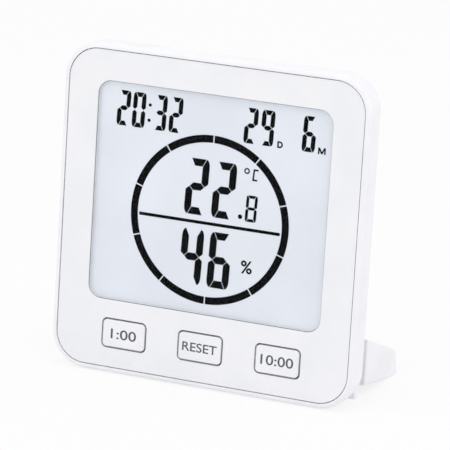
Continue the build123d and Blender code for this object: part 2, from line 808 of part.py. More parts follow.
def stand_top(depth):
    """Height v of the stand's sloping top at a depth."""
    return stand_front_high - (depth - stand_front) * top_fall


# The sole, the end wall and the skin under the sloping top keep the wall's thickness
skin_drop = stand_wall * sqrt(1 + top_fall**2)
cavity_front = stand_front + stand_wall
end_slope = stand_tip_lean / stand_tip_h
cavity_low = ground_at(stand_tip) + stand_wall
cavity_back = stand_tip - stand_wall - end_slope * stand_wall
cavity_top_back = tip_top[0] - stand_wall
below = ground_v - cut_past
slot_w = lug_w + 2 * run_gap
slot_back = hinge_depth + lug_r + slot_room
sill_top = hinge_v - lug_r - run_gap
with BuildPart() as stand:
    with BuildSketch(SIDE.offset(-stand_w / 2)) as stand_side:
        with BuildLine():
            Polyline(
                (stand_front, stand_front_low),
                (sole_start, ground_at(sole_start)),
                (stand_tip, ground_at(stand_tip)),
                tip_top,
                (stand_front, stand_front_high),
                close=True,
            )
        make_face()
        fillet(stand_side.vertices().sort_by_distance((*tip_top, 0))[0], tip_round)
    extrude(amount=stand_w)
    for side in (0, -1):
        fillet(stand.faces().sort_by(Axis.X)[side].edges(), stand_edge)
    # cavity, open below as far as the sole
    with BuildSketch(SIDE.offset(stand_wall - stand_w / 2)):
        with BuildLine():
            Polyline(
                (cavity_front, below),
                (sole_start, below),
                (sole_start, cavity_low),
                (cavity_back, cavity_low),
                (cavity_top_back, stand_top(cavity_top_back) - skin_drop),
                (cavity_front, stand_top(cavity_front) - skin_drop),
                close=True,
            )
        make_face()
    extrude(amount=stand_w - 2 * stand_wall, mode=Mode.SUBTRACT)
    # ribs between top skin and sole, set back from the ground
    for u in [lug + side * rib_off for lug in lug_us for side in (-1, 1)]:
        with BuildSketch(SIDE.offset(u - stand_rib / 2)):
            with BuildLine():
                Polyline(
                    (cavity_front, sill_top),
                    (cavity_back, cavity_low),
                    (cavity_top_back, stand_top(cavity_top_back) - skin_drop),
                    (cavity_front, stand_top(cavity_front) - skin_drop),
                    close=True,
                )
            make_face()
        extrude(amount=stand_rib)
    # slots that pass the lugs, above a sill that stops the stand when it is down
    for u in lug_us:
        with BuildSketch(SIDE.offset(u - slot_w / 2)):
            with BuildLine():
                Polyline(
                    (stand_front - cut_past, sill_top),
                    (slot_back, sill_top),
                    (slot_back, stand_front_high + cut_past),
                    (stand_front - cut_past, stand_front_high + cut_past),
                    close=True,
                )
            make_face()
        extrude(amount=slot_w, mode=Mode.SUBTRACT)
        # knuckles on both sides of each lug
        for knuckle_u in (u - slot_w / 2 - knuckle_w, u + slot_w / 2):
            with BuildSketch(SIDE.offset(knuckle_u)):
                with Locations((hinge_depth, hinge_v)):
                    Circle(lug_r)
                with Locations(((hinge_depth + cavity_front) / 2, hinge_v)):
                    Rectangle(cavity_front - hinge_depth, 2 * lug_r)
            extrude(amount=knuckle_w)
    with BuildSketch(SIDE.offset(-stand_w / 2 + stand_wall)):
        with Locations((hinge_depth, hinge_v)):
            Circle(pin_r + pin_gap)
    extrude(amount=stand_w - 2 * stand_wall, mode=Mode.SUBTRACT)
save(stand.part, "stand")

# Two steel pins, fixed in the lugs, on which the stand's knuckles turn
pin_len = slot_w + 2 * knuckle_w
with BuildPart() as stand_pins:
    for u in lug_us:
        with BuildSketch(SIDE.offset(u - pin_len / 2)):
            with Locations((hinge_depth, hinge_v)):
                Circle(pin_r)
        extrude(amount=pin_len)
save(stand_pins.part, "stand_pins")
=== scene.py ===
"""Looks of a desk thermo-hygrometer: moulded shells, display figures, key legends, studio.

Metres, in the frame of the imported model. Places on the body are given in millimetres: u to the
right, v up along the face plate and depth behind the plate's face.
"""

import json
import math

import bmesh
import bpy
from mathutils import Matrix, Vector


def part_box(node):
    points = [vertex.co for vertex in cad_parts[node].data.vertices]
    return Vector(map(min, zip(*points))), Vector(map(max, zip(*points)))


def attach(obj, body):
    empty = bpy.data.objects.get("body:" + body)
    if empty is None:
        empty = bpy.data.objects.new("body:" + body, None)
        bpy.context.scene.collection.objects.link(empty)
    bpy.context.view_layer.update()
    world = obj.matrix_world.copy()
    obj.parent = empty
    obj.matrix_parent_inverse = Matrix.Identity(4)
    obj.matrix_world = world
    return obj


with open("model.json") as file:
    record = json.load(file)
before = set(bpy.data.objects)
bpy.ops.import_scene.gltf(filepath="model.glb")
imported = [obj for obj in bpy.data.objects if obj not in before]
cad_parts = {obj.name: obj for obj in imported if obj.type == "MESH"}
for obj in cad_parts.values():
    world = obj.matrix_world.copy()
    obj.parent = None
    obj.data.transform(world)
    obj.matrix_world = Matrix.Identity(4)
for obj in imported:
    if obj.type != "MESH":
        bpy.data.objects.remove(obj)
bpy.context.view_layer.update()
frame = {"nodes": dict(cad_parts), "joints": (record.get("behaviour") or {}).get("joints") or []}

bl_info = {
    "name": "Desk thermo-hygrometer looks",
    "version": (1, 0, 0),
    "blender": (4, 5, 0),
    "location": "3D View > Sidebar > Thermo-hygrometer",
    "description": "Finishes, display figures, key legends and studio for a desk thermo-hygrometer",
    "category": "Object",
}

MM = 0.001
HOUSING = "housing"

# The body's own directions: a front key is pressed straight back, along its joint's axis
JOINTS = {joint["name"]: joint for joint in frame["joints"]}
BACK = Vector(JOINTS["minute_press"]["axis"]).normalized()
RIGHT = Vector((1.0, 0.0, 0.0))
UP = RIGHT.cross(BACK).normalized()
PLATE_LOW, PLATE_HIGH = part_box("front_plate")
PLATE_T = 1.0 * MM
FACE = (PLATE_LOW + PLATE_HIGH) / 2 - BACK * (PLATE_T / 2)
FACE_TURN = Matrix((RIGHT, UP, -BACK)).transposed().to_4x4()

# Depths of the prints and of the line of painted shade round the window behind the plate's face, and their
# thickness
FIGURE_DEPTH = 0.96 * MM
FIGURE_T = 0.03 * MM
WINDOW_SHADE_LINE_DEPTH = 0.28 * MM
PRINT_T = 0.02 * MM

# Where the two shades of a mottled colour lie on the noise
DARK_END = 0.35
PALE_END = 0.65

# Wave scale of the silicone strips' layers, which draws them about 1.3 mm apart
LAYER_SCALE = 250.0

# Segments that are dark in each figure, named as on a data sheet: a on top, then clockwise,
# with g in the middle
SEGMENTS = {
    "0": "abcdef",
    "2": "abged",
    "3": "abgcd",
    "4": "fgbc",
    "6": "afgecd",
    "8": "abcdefg",
    "9": "abcdfg",
}

# A segment's mitre and shoulder as shares of its stroke, and the least cosine for a moved corner
SEGMENT_TIP = 0.5
SEGMENT_SHOULDER = 0.42
MITRE_LIMIT = 0.35

# Figures in millimetres on the face: each digit with the u of its lower left corner. A size is
# width, height and stroke
ROW_V = 21.82
CLOCK = (("2", -27.08), ("0", -22.87), ("3", -17.0), ("2", -12.68))
CLOCK_DOTS = ((-17.9, 28.0), (-18.0, 24.1))
CLOCK_DOT_R = 0.42
DAY = (("2", 7.77), ("9", 12.25))
MONTH = (("6", 23.42),)
TEMPERATURE_V = 1.85
TEMPERATURE = (("2", -7.2), ("2", 0.25))
TENTHS_V = 2.05
TENTHS = (("8", 9.5),)
TENTHS_SIZE = (3.15, 6.85, 0.86)
TENTHS_GAP = 0.12
POINT = (8.3, 3.1)
POINT_R = 0.58
HUMIDITY_V = -16.15
HUMIDITY = (("4", -7.6), ("6", 0.1))

# Marks beside the figures, and the bar below the temperature
DEGREE = (9.43, 14.9)
DEGREE_INNER_R = 0.42
DEGREE_OUTER_R = 0.76
BRACKET = [(10.95, 12.6), (12.3, 12.6), (12.3, 13.02), (11.41, 13.02), (11.58, 15.18)]
BRACKET += [(12.5, 15.18), (12.5, 15.6), (11.2, 15.6)]
PERCENT = (10.86, -9.5)
PERCENT_HEIGHT = 3.36
PERCENT_BOLD = 0.016
DIVIDER = [(-19.25, -0.29), (19.25, -0.29), (19.25, 0.51), (-19.25, 0.51)]
RING_STEPS = 24

# Letter D: the centre of its bowl, then the low end, radius and high end of each edge
LETTER_D_BOWL = (17.7, 22.67)
LETTER_D_INNER = ((17.44, 22.2), 0.47, (17.44, 23.14))
LETTER_D_OUTER = ((17.05, 21.83), 0.84, (17.05, 23.51))

# Outline of letter M
LETTER_M = [(27.96, 21.76), (28.32, 21.76), (28.32, 22.7), (28.78, 21.8), (29.14, 21.8), (29.6, 22.7)]
LETTER_M += [(29.6, 21.76), (29.96, 21.76), (29.96, 23.4), (29.52, 23.4), (28.96, 22.35)]
LETTER_M += [(28.4, 23.4), (27.96, 23.4)]

# Width, height and corner inside the line of painted shade round the window and inside the printed line round
# each front key
WINDOW_SHADE_LINE = (63.6, 56.0, 3.4)
WINDOW_SHADE_LINE_WIDTH = 0.18
KEY_LINE = (12.2, 7.6, 1.3)

# Text, stretch and height of each front key's legend, and how much its strokes are thickened
LEGENDS = {"minute": ("1:00", 1.3, 2.6), "clear": ("RESET", 1.12, 2.35), "tens": ("10:00", 1.22, 2.6)}
LEGEND_BOLD = 0.008

# Floor in metres, the share of white in it for the camera, and the strength of the room's light
FLOOR_REACH = 4.0
FLOOR_DROP = -0.00005
FLOOR_GLOW = 0.82
ROOM_LIGHT = 0.86
WHITE = (1, 1, 1, 1)

# Square lamps: place and side in metres, power in watts, and the depth of the point they face
LAMPS = {
    "top_softbox": ((0.1, -0.35, 1.15), 0.8, 2.2),
    "left_softbox": ((-0.75, -1.0, 0.5), 0.9, 1.2),
    "right_softbox": ((1.1, 0.1, 0.45), 0.9, 1.3),
}
LAMP_AIM_DEPTH = 8

# Camera of the photograph's view: place and aim, roll in degrees, sensor and lens in millimetres
CAMERA_PLACE = Vector((334.8, -788.4, 258.5)) * MM
CAMERA_AIM = Vector((-4.35, -2.5, 39.7)) * MM
CAMERA_ROLL = 2.68
SENSOR_WIDTH = 36.0
FOCAL_LENGTH = 277.6
SHIFT_X = 0.0171
SHIFT_Y = -0.0123


def on_face(u, v, depth=0.0):
    """Place in the frame of a point on the body, from millimetres."""
    return FACE + RIGHT * (u * MM) + UP * (v * MM) + BACK * (depth * MM)


def face_place(low, high):
    """Millimetres u and v on the face of the middle of a box."""
    offset = (low + high) / 2 - FACE
    return offset.dot(RIGHT) / MM, offset.dot(UP) / MM


def linear(code):
    """Linear colour of an sRGB hex code, with full alpha."""
    parts = [int(code[i : i + 2], 16) / 255 for i in (1, 3, 5)]
    return [c / 12.92 if c <= 0.04045 else ((c + 0.055) / 1.055) ** 2.4 for c in parts] + [1.0]


def linked(name, data):
    """A new object with this mesh, text, lamp or camera, in the scene."""
    piece = bpy.data.objects.new(name, data)
    bpy.context.scene.collection.objects.link(piece)
    return piece


# Materials


def add(tree, kind, settings=None, **inputs):
    """A node with its settings, whose inputs are values or the sockets that feed them."""
    made = tree.nodes.new(kind)
    for name, value in (settings or {}).items():
        setattr(made, name, value)
    for name, value in inputs.items():
        socket = made.inputs[name.replace("_", " ")]
        if isinstance(value, bpy.types.NodeSocket):
            tree.links.new(value, socket)
        else:
            socket.default_value = value
    return made


def surface(name, roughness, **constants):
    """A material with a Principled shader, and that shader."""
    material = bpy.data.materials.new(name)
    material.use_nodes = True
    shader = material.node_tree.nodes["Principled BSDF"]
    shader.inputs["Roughness"].default_value = roughness
    for socket, value in constants.items():
        shader.inputs[socket.replace("_", " ")].default_value = value
    return material, shader


def mottled(material, shader, pale, dark, patch_mm):
    """Base colour that drifts between two close shades over patches of this size."""
    tree = material.node_tree
    place = add(tree, "ShaderNodeTexCoord")
    noise = add(
        tree, "ShaderNodeTexNoise", Vector=place.outputs["Object"], Scale=1 / (patch_mm * MM), Detail=2.0
    )
    ramp = add(tree, "ShaderNodeValToRGB", Fac=noise.outputs["Fac"])
    ramp.color_ramp.elements[0].position = DARK_END
    ramp.color_ramp.elements[0].color = dark
    ramp.color_ramp.elements[1].position = PALE_END
    ramp.color_ramp.elements[1].color = pale
    tree.links.new(ramp.outputs["Color"], shader.inputs["Base Color"])


def grained(material, shader, grain_mm, height_mm, strength):
    """Fine relief of this grain size and height."""
    tree = material.node_tree
    place = add(tree, "ShaderNodeTexCoord")
    noise = add(
        tree, "ShaderNodeTexNoise", Vector=place.outputs["Object"], Scale=1 / (grain_mm * MM), Detail=3.0
    )
    bump = add(
        tree, "ShaderNodeBump", Height=noise.outputs["Fac"], Distance=height_mm * MM, Strength=strength
    )
    tree.links.new(bump.outputs["Normal"], shader.inputs["Normal"])


def eroded_abs(name, pale, dark):
    """Injection-moulded ABS from a spark-eroded mould: a fine satin grain, drawn at 0.35 mm."""
    material, shader = surface(name, roughness=0.42, IOR=1.54)
    mottled(material, shader, pale, dark, patch_mm=9.0)
    grained(material, shader, grain_mm=0.35, height_mm=0.012, strength=0.35)
    return material


def smooth_abs(name, pale, dark):
    """Injection-moulded ABS from a ground mould: smooth and even, with a soft wide highlight."""
    material, shader = surface(name, roughness=0.34, IOR=1.54)
    mottled(material, shader, pale, dark, patch_mm=14.0)
    grained(material, shader, grain_mm=1.6, height_mm=0.004, strength=0.15)
    return material


def clear_acrylic():
    """Cast acrylic sheet: almost unseen, with a cool tint from its edge."""
    material, shader = surface("clear_acrylic_sheet", roughness=0.06, IOR=1.49, Alpha=0.005)
    shader.inputs["Base Color"].default_value = linear("#E9F0F6")
    grained(material, shader, grain_mm=6.0, height_mm=0.001, strength=0.1)
    material.surface_render_method = "DITHERED"
    return material


def display_glass():
    """Float glass of a liquid crystal cell: pale green-blue and smooth."""
    material, shader = surface("float_glass", roughness=0.05, IOR=1.52, Alpha=0.35)
    shader.inputs["Base Color"].default_value = linear("#DCE9EA")
    grained(material, shader, grain_mm=8.0, height_mm=0.001, strength=0.1)
    material.surface_render_method = "DITHERED"
    return material


def polariser_film(pale, dark):
    """Polariser over a transflective film: matte blue-grey with a faint pearly speckle."""
    material, shader = surface("polariser_film", roughness=0.5, IOR=1.49)
    mottled(material, shader, pale, dark, patch_mm=26.0)
    grained(material, shader, grain_mm=0.25, height_mm=0.002, strength=0.25)
    return material


def crystal_ink(colour):
    """Switched liquid crystal: a deep even black, with no gloss of its own."""
    material, shader = surface("switched_crystal", roughness=0.7, IOR=1.49, Specular_IOR_Level=0.0)
    mottled(material, shader, colour, linear("#040506"), patch_mm=2.5)
    return material


def print_ink_and_painted_shade(colour):
    """Pad-printed ink on ABS: thin and matte, a little uneven in its tone. The same ink also draws the dark
    line round the window, which is painted shade of the window's recessed edge.
    """
    material, shader = surface("print_ink_and_painted_shade", roughness=0.55, IOR=1.5)
    mottled(material, shader, colour, linear("#55575D"), patch_mm=0.8)
    return material


def rear_rubber():
    """Compression-moulded silicone rubber: soft grey with a dusty sheen."""
    material, shader = surface("silicone_rubber", roughness=0.62, IOR=1.43, Sheen_Weight=0.15)
    mottled(material, shader, linear("#9A9CA1"), linear("#909297"), patch_mm=2.0)
    grained(material, shader, grain_mm=0.2, height_mm=0.01, strength=0.3)
    return material


def black_abs():
    """Moulded black ABS of holders and switches, with a slight grey bloom."""
    material, shader = surface("black_abs", roughness=0.5, IOR=1.54)
    mottled(material, shader, linear("#2A2A2C"), linear("#222224"), patch_mm=4.0)
    grained(material, shader, grain_mm=0.3, height_mm=0.01, strength=0.3)
    return material


def carbon_silicone():
    """Silicone strip with carbon layers across it: dark bands, drawn coarser than real ones."""
    material, shader = surface("layered_silicone", roughness=0.6, IOR=1.43)
    tree = material.node_tree
    place = add(tree, "ShaderNodeTexCoord")
    bands = add(
        tree,
        "ShaderNodeTexWave",
        {"bands_direction": "X"},
        Vector=place.outputs["Object"],
        Scale=LAYER_SCALE,
        Distortion=0.2,
    )
    ramp = add(tree, "ShaderNodeValToRGB", Fac=bands.outputs["Fac"])
    ramp.color_ramp.elements[0].color = linear("#141416")
    ramp.color_ramp.elements[1].color = linear("#3A3A3E")
    tree.links.new(ramp.outputs["Color"], shader.inputs["Base Color"])
    return material


def solder_mask():
    """Glass-epoxy board under green solder mask: glossy, with the weave just showing."""
    material, shader = surface("solder_mask", roughness=0.3, IOR=1.55)
    mottled(material, shader, linear("#1F6B43"), linear("#185A38"), patch_mm=1.2)
    grained(material, shader, grain_mm=0.5, height_mm=0.01, strength=0.4)
    return material


def potting_resin():
    """Drop of black epoxy: glossy and slightly rippled."""
    material, shader = surface("potting_resin", roughness=0.22, IOR=1.55)
    mottled(material, shader, linear("#1A1A1B"), linear("#111112"), patch_mm=3.0)
    grained(material, shader, grain_mm=2.0, height_mm=0.05, strength=0.3)
    return material


def plated_metal(name, pale, dark, roughness, scratch_mm):
    """Plated steel: bright, with fine marks of forming along its length."""
    material, shader = surface(name, roughness=roughness, Metallic=1.0)
    mottled(material, shader, pale, dark, patch_mm=1.5)
    grained(material, shader, grain_mm=scratch_mm, height_mm=0.004, strength=0.4)
    return material


def cell_jacket():
    """Shrunk and printed polyester jacket of a dry cell: dark, smooth and glossy."""
    material, shader = surface("cell_jacket", roughness=0.25, IOR=1.58, Coat_Weight=0.3)
    mottled(material, shader, linear("#33394A"), linear("#2B3140"), patch_mm=6.0)
    grained(material, shader, grain_mm=1.0, height_mm=0.004, strength=0.2)
    return material


def finish_node(name, material):
    """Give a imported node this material."""
    slots = frame["nodes"][name].data.materials
    slots.clear()
    slots.append(material)


# Flat shapes on the face


def prism(book, outline, thickness):
    """Add a closed flat shape, given as points with their depth, to a bmesh."""
    front = [book.verts.new(point) for point in outline]
    back = [book.verts.new(point + BACK * thickness) for point in outline]
    book.faces.new(front)
    book.faces.new(reversed(back))
    for i in range(len(outline)):
        j = (i + 1) % len(outline)
        book.faces.new((front[j], front[i], back[i], back[j]))


def band(book, inner, outer, depth, thickness):
    """Add a closed band between two outlines with the same number of points to a bmesh."""
    rings = []
    for outline in (inner, outer):
        for back in (0.0, thickness):
            rings.append([book.verts.new(on_face(u, v) + BACK * (depth + back)) for u, v in outline])
    near_in, far_in, near_out, far_out = rings
    for i in range(len(inner)):
        j = (i + 1) % len(inner)
        book.faces.new((near_in[i], near_in[j], near_out[j], near_out[i]))
        book.faces.new((far_in[j], far_in[i], far_out[i], far_out[j]))
        book.faces.new((near_out[i], near_out[j], far_out[j], far_out[i]))
        book.faces.new((near_in[j], near_in[i], far_in[i], far_in[j]))


def mesh_from(name, book):
    """A mesh with outward faces from a bmesh, which is freed."""
    bmesh.ops.recalc_face_normals(book, faces=book.faces)
    mesh = bpy.data.meshes.new(name)
    book.to_mesh(mesh)
    book.free()
    return mesh


def flat_piece(name, shapes, bands, depth, thickness, material, body=HOUSING):
    """One print from closed outlines and bands in millimetres on the face, at a depth in metres."""
    book = bmesh.new()
    for shape in shapes:
        prism(book, [on_face(u, v) + BACK * depth for u, v in shape], thickness)
    for inner, outer in bands:
        band(book, inner, outer, depth, thickness)
    mesh = mesh_from(name, book)
    mesh.materials.append(material)
    piece = linked(name, mesh)
    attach(piece, body)


def outline_band(u, v, size, wide):
    """Inner and outer outline of a line of this width round a rounded rectangle."""
    width, height, corner = size
    inner = [(u + x, v + y) for x, y in rounded_loop(width, height, corner)]
    outer = [(u + x, v + y) for x, y in rounded_loop(width + 2 * wide, height + 2 * wide, corner + wide)]
    return inner, outer


def round_dot(u, v, radius, steps=28):
    """Outline of a disc."""
    turns = [2 * math.pi * i / steps for i in range(steps)]
    return [(u + radius * math.cos(t), v + radius * math.sin(t)) for t in turns]


def arc(u, v, radius, start, end, steps):
    """Points along an arc between two angles in degrees, with both ends."""
    turns = [math.radians(start + (end - start) * i / steps) for i in range(steps + 1)]
    return [(u + radius * math.cos(t), v + radius * math.sin(t)) for t in turns]


def rounded_loop(width, height, radius, steps=6):
    """Outline of a rounded rectangle about the origin."""
    points = []
    corners = ((1, 1, 0), (-1, 1, 90), (-1, -1, 180), (1, -1, 270))
    for side_u, side_v, start in corners:
        centre_u = side_u * (width / 2 - radius)
        centre_v = side_v * (height / 2 - radius)
        points += arc(centre_u, centre_v, radius, start, start + 90, steps)
    return points


def inset(shape, by):
    """A convex outline moved inwards by a distance."""
    count = len(shape)
    pairs = [(shape[i], shape[(i + 1) % count]) for i in range(count)]
    area = sum(first[0] * second[1] - second[0] * first[1] for first, second in pairs)
    turn = 1 if area > 0 else -1
    moved = []
    for i in range(count):
        before, here, after = Vector(shape[i - 1]), Vector(shape[i]), Vector(shape[(i + 1) % count])
        first, second = (here - before).normalized(), (after - here).normalized()
        normal_1 = Vector((-first.y, first.x)) * turn
        normal_2 = Vector((-second.y, second.x)) * turn
        middle = (normal_1 + normal_2).normalized()
        moved.append(tuple(here + middle * (by / max(MITRE_LIMIT, middle.dot(normal_1)))))
    return moved


def segment_shapes(width, height, stroke):
    """The seven segments of a figure, which together fill its band without gaps."""
    mid = height / 2
    half = stroke / 2
    tip = SEGMENT_TIP * stroke
    shoulder = SEGMENT_SHOULDER * stroke
    bend = [math.radians(a) for a in (0, 30, 60, 90)]
    corner = [(width - tip + tip * math.sin(t), height - stroke + stroke * math.cos(t)) for t in bend]
    right_high = corner + [
        (width, mid + shoulder),
        (width - half, mid),
        (width - stroke, mid + half),
        (width - stroke, height - stroke),
    ]
    top = [(tip, height), (width - tip, height), (width - stroke, height - stroke), (stroke, height - stroke)]
    middle = [
        (half, mid),
        (stroke, mid + half),
        (width - stroke, mid + half),
        (width - half, mid),
        (width - stroke, mid - half),
        (stroke, mid - half),
    ]

    def across(shape):
        """The shape mirrored from right to left."""
        return [(width - u, v) for u, v in shape]

    def below(shape):
        """The shape mirrored from top to bottom."""
        return [(u, height - v) for u, v in shape]

    return {
        "a": top,
        "b": right_high,
        "c": below(right_high),
        "d": below(top),
        "e": below(across(right_high)),
        "f": across(right_high),
        "g": middle,
    }


def figure(digit, u, v, width, height, stroke, gap, slant):
    """Outlines of a figure's dark segments, its lower left corner at u, v."""
    shapes = segment_shapes(width, height, stroke)
    lean = math.tan(slant)
    made = []
    for letter in SEGMENTS[digit]:
        made.append([(u + x + y * lean, v + y) for x, y in inset(shapes[letter], gap / 2)])
    return made


def lettering(name, text, place, height, depth, thickness, material, bold, body=HOUSING, stretch=1.0):
    """Flat lettering centred at a place u, v on the face, as a mesh of this thickness in metres."""
    words = bpy.data.curves.new(name, "FONT")
    words.body = text
    words.align_x = "CENTER"
    words.align_y = "CENTER"
    words.resolution_u = 6
    words.offset = bold
    words.extrude = 0.02
    source = linked(name + "_source", words)
    bpy.context.view_layer.update()
    mesh = bpy.data.meshes.new_from_object(source.evaluated_get(bpy.context.evaluated_depsgraph_get()))
    bpy.data.objects.remove(source)
    low = [min(p.co[i] for p in mesh.vertices) for i in range(3)]
    high = [max(p.co[i] for p in mesh.vertices) for i in range(3)]
    scale = height * MM / (high[1] - low[1])
    centre = Matrix.Translation([-(low[i] + high[i]) / 2 for i in range(3)])
    size = Matrix.Diagonal((scale * stretch, scale, thickness / (high[2] - low[2]), 1.0))
    lay = Matrix.Translation(on_face(*place) + BACK * (depth + thickness / 2))
    mesh.transform(lay @ FACE_TURN @ size @ centre)
    mesh.name = name
    mesh.materials.clear()
    mesh.materials.append(material)
    piece = linked(name, mesh)
    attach(piece, body)


# Settings


def shade(name, description, code):
    """A colour setting whose first value is this sRGB hex code."""
    return bpy.props.FloatVectorProperty(
        name=name, description=description, subtype="COLOR", size=4, min=0.0, max=1.0, default=linear(code)
    )


def length(name, description, millimetres):
    """A length setting in metres whose first value is given in millimetres."""
    return bpy.props.FloatProperty(
        name=name,
        description=description,
        subtype="DISTANCE",
        unit="LENGTH",
        precision=5,
        default=millimetres * MM,
    )


def turn(name, description, degrees):
    """An angle setting whose first value is given in degrees."""
    return bpy.props.FloatProperty(
        name=name, description=description, subtype="ANGLE", unit="ROTATION", default=math.radians(degrees)
    )


class HousingLook(bpy.types.PropertyGroup):
    """Finish of the moulded pieces and the keys' print."""

    shell_pale: shade("Shell", "Colour of frame, cover, door and stand", "#F7F7FA")
    shell_dark: shade("Shell patches", "Colour of its slightly darker patches", "#F3F3F6")
    plate_pale: shade("Plate", "Colour of face plate and front keys", "#F5F5F7")
    plate_dark: shade("Plate patches", "Colour of its slightly darker patches", "#F0F1F3")
    ink: shade("Print", "Ink of the legends and outlines", "#54565C")
    outline_width: length("Outline width", "Width of the print round each key", 0.14)


class DisplayLook(bpy.types.PropertyGroup):
    """Sizes and colours of the display."""

    film_pale: shade("Film", "Ground of the display", "#E9EEF6")
    film_dark: shade("Film patches", "Colour of its slightly darker patches", "#E3E8F0")
    dark_segment: shade("Segment", "Colour of the dark segments", "#08090A")
    row_height: length("Row height", "Height of the clock's figures", 9.1)
    row_width: length("Row width", "Width of the clock's figures", 3.65)
    row_stroke: length("Row stroke", "Stroke of the clock's figures", 1.3)
    big_height: length("Large height", "Height of the large figures", 14.45)
    big_width: length("Large width", "Width of the large figures", 6.15)
    big_stroke: length("Large stroke", "Stroke of the large figures", 2.02)
    gap: length("Gap", "Clear line between segments", 0.14)
    slant: turn("Slant", "Slant of all figures", 2.0)
    ring_height: length("Ring height", "Height of the ring's centre above the plate's", 1.0)
    ring_outer: length("Ring radius", "Outer radius of the ring", 21.6)
    ring_stroke: length("Ring stroke", "Width of the ring", 1.9)
    ring_gap: turn("Ring gap", "Gap between the ring's parts", 0.9)
    ring_parts: bpy.props.IntProperty(
        name="Ring parts", description="Number of parts in the ring", default=10, min=2, max=60
    )


# Operators


class THG_OT_moulded_shells(bpy.types.Operator):
    """Finish the frame, plate, cover, door and stand"""

    bl_idname = "thermo.moulded_shells"
    bl_label = "Moulded shells"

    def execute(self, context):
        look = context.scene.housing_look
        shell = eroded_abs("eroded_abs_white", look.shell_pale, look.shell_dark)
        plate = smooth_abs("smooth_abs_plate", look.plate_pale, look.plate_dark)
        for name in ("front_frame", "rear_cover", "battery_door", "stand"):
            finish_node(name, shell)
        for name in ("front_plate", "minute_key", "clear_key", "tens_key"):
            finish_node(name, plate)
        return {"FINISHED"}


class THG_OT_display_cell(bpy.types.Operator):
    """Finish the window, glasses and films of the display, and draw a dark line of painted shade round the
    window's recessed edge
    """

    bl_idname = "thermo.display_cell"
    bl_label = "Display cell"

    def execute(self, context):
        look = context.scene.display_look
        film = polariser_film(look.film_pale, look.film_dark)
        glass = display_glass()
        finish_node("display_window", clear_acrylic())
        finish_node("lcd_front_glass", glass)
        finish_node("lcd_rear_glass", glass)
        finish_node("front_polariser", film)
        finish_node("rear_reflector", film)
        # Painted shade: a thin dark grey line round the window stands in for the shade on the window's
        # recessed edge
        line = outline_band(*face_place(*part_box("display_window")), WINDOW_SHADE_LINE, WINDOW_SHADE_LINE_WIDTH)
        flat_piece("window_painted_shade", [], [line], WINDOW_SHADE_LINE_DEPTH, PRINT_T, print_ink_and_painted_shade(linear("#767981")))
        return {"FINISHED"}


class THG_OT_figures(bpy.types.Operator):
    """Draw the dark segments of the clock, date, temperature and humidity"""

    bl_idname = "thermo.figures"
    bl_label = "Figures"

    def execute(self, context):
        look = context.scene.display_look
        ink = crystal_ink(look.dark_segment)
        gap = look.gap / MM
        row_size = (look.row_width / MM, look.row_height / MM, look.row_stroke / MM)
        big_size = (look.big_width / MM, look.big_height / MM, look.big_stroke / MM)

        def line_of(digits, v, size, gap=gap):
            """Dark segments of the figures on one line."""
            shapes = []
            for digit, u in digits:
                shapes += figure(digit, u, v, *size, gap, look.slant)
            return shapes

        def show(name, shapes, bands=()):
            """One print of the display."""
            flat_piece(name, shapes, bands, FIGURE_DEPTH, FIGURE_T, ink)

        dots = [round_dot(u, v, CLOCK_DOT_R) for u, v in CLOCK_DOTS]
        show("clock_figures", line_of(CLOCK, ROW_V, row_size) + dots)
        show("day_figures", line_of(DAY, ROW_V, row_size))
        show("month_figure", line_of(MONTH, ROW_V, row_size))
        temperature = line_of(TEMPERATURE, TEMPERATURE_V, big_size)
        temperature += line_of(TENTHS, TENTHS_V, TENTHS_SIZE, TENTHS_GAP)
        temperature += [round_dot(*POINT, POINT_R), BRACKET]
        degree = (round_dot(*DEGREE, DEGREE_INNER_R), round_dot(*DEGREE, DEGREE_OUTER_R))
        show("temperature_figures", temperature, [degree])
        show("humidity_figures", line_of(HUMIDITY, HUMIDITY_V, big_size))
        show("divider_bar", [DIVIDER])
        lettering("percent_mark", "%", PERCENT, PERCENT_HEIGHT, FIGURE_DEPTH, FIGURE_T, ink, PERCENT_BOLD)
        letter_d = []
        for low_end, radius, high_end in (LETTER_D_INNER, LETTER_D_OUTER):
            letter_d.append([low_end, *arc(*LETTER_D_BOWL, radius, -90, 90, 12), high_end])
        show("day_mark", [], [letter_d])
        show("month_mark", [LETTER_M])
        return {"FINISHED"}


def ring_part(inner, outer, start, end):
    """Flat mesh of one part of a ring about the origin, between two angles in degrees."""
    far = arc(0, 0, outer, start, end, RING_STEPS)
    near = arc(0, 0, inner, start, end, RING_STEPS)
    shape = far + near[::-1]
    book = bmesh.new()
    front = [book.verts.new((u * MM, v * MM, 0)) for u, v in shape]
    back = [book.verts.new((u * MM, v * MM, -FIGURE_T)) for u, v in shape]
    for i in range(RING_STEPS):
        j = len(shape) - 1 - i
        book.faces.new((front[i], front[i + 1], front[j - 1], front[j]))
        book.faces.new((back[j], back[j - 1], back[i + 1], back[i]))
    for i in range(len(shape)):
        j = (i + 1) % len(shape)
        book.faces.new((front[j], front[i], back[i], back[j]))
    return mesh_from("ring_part", book)


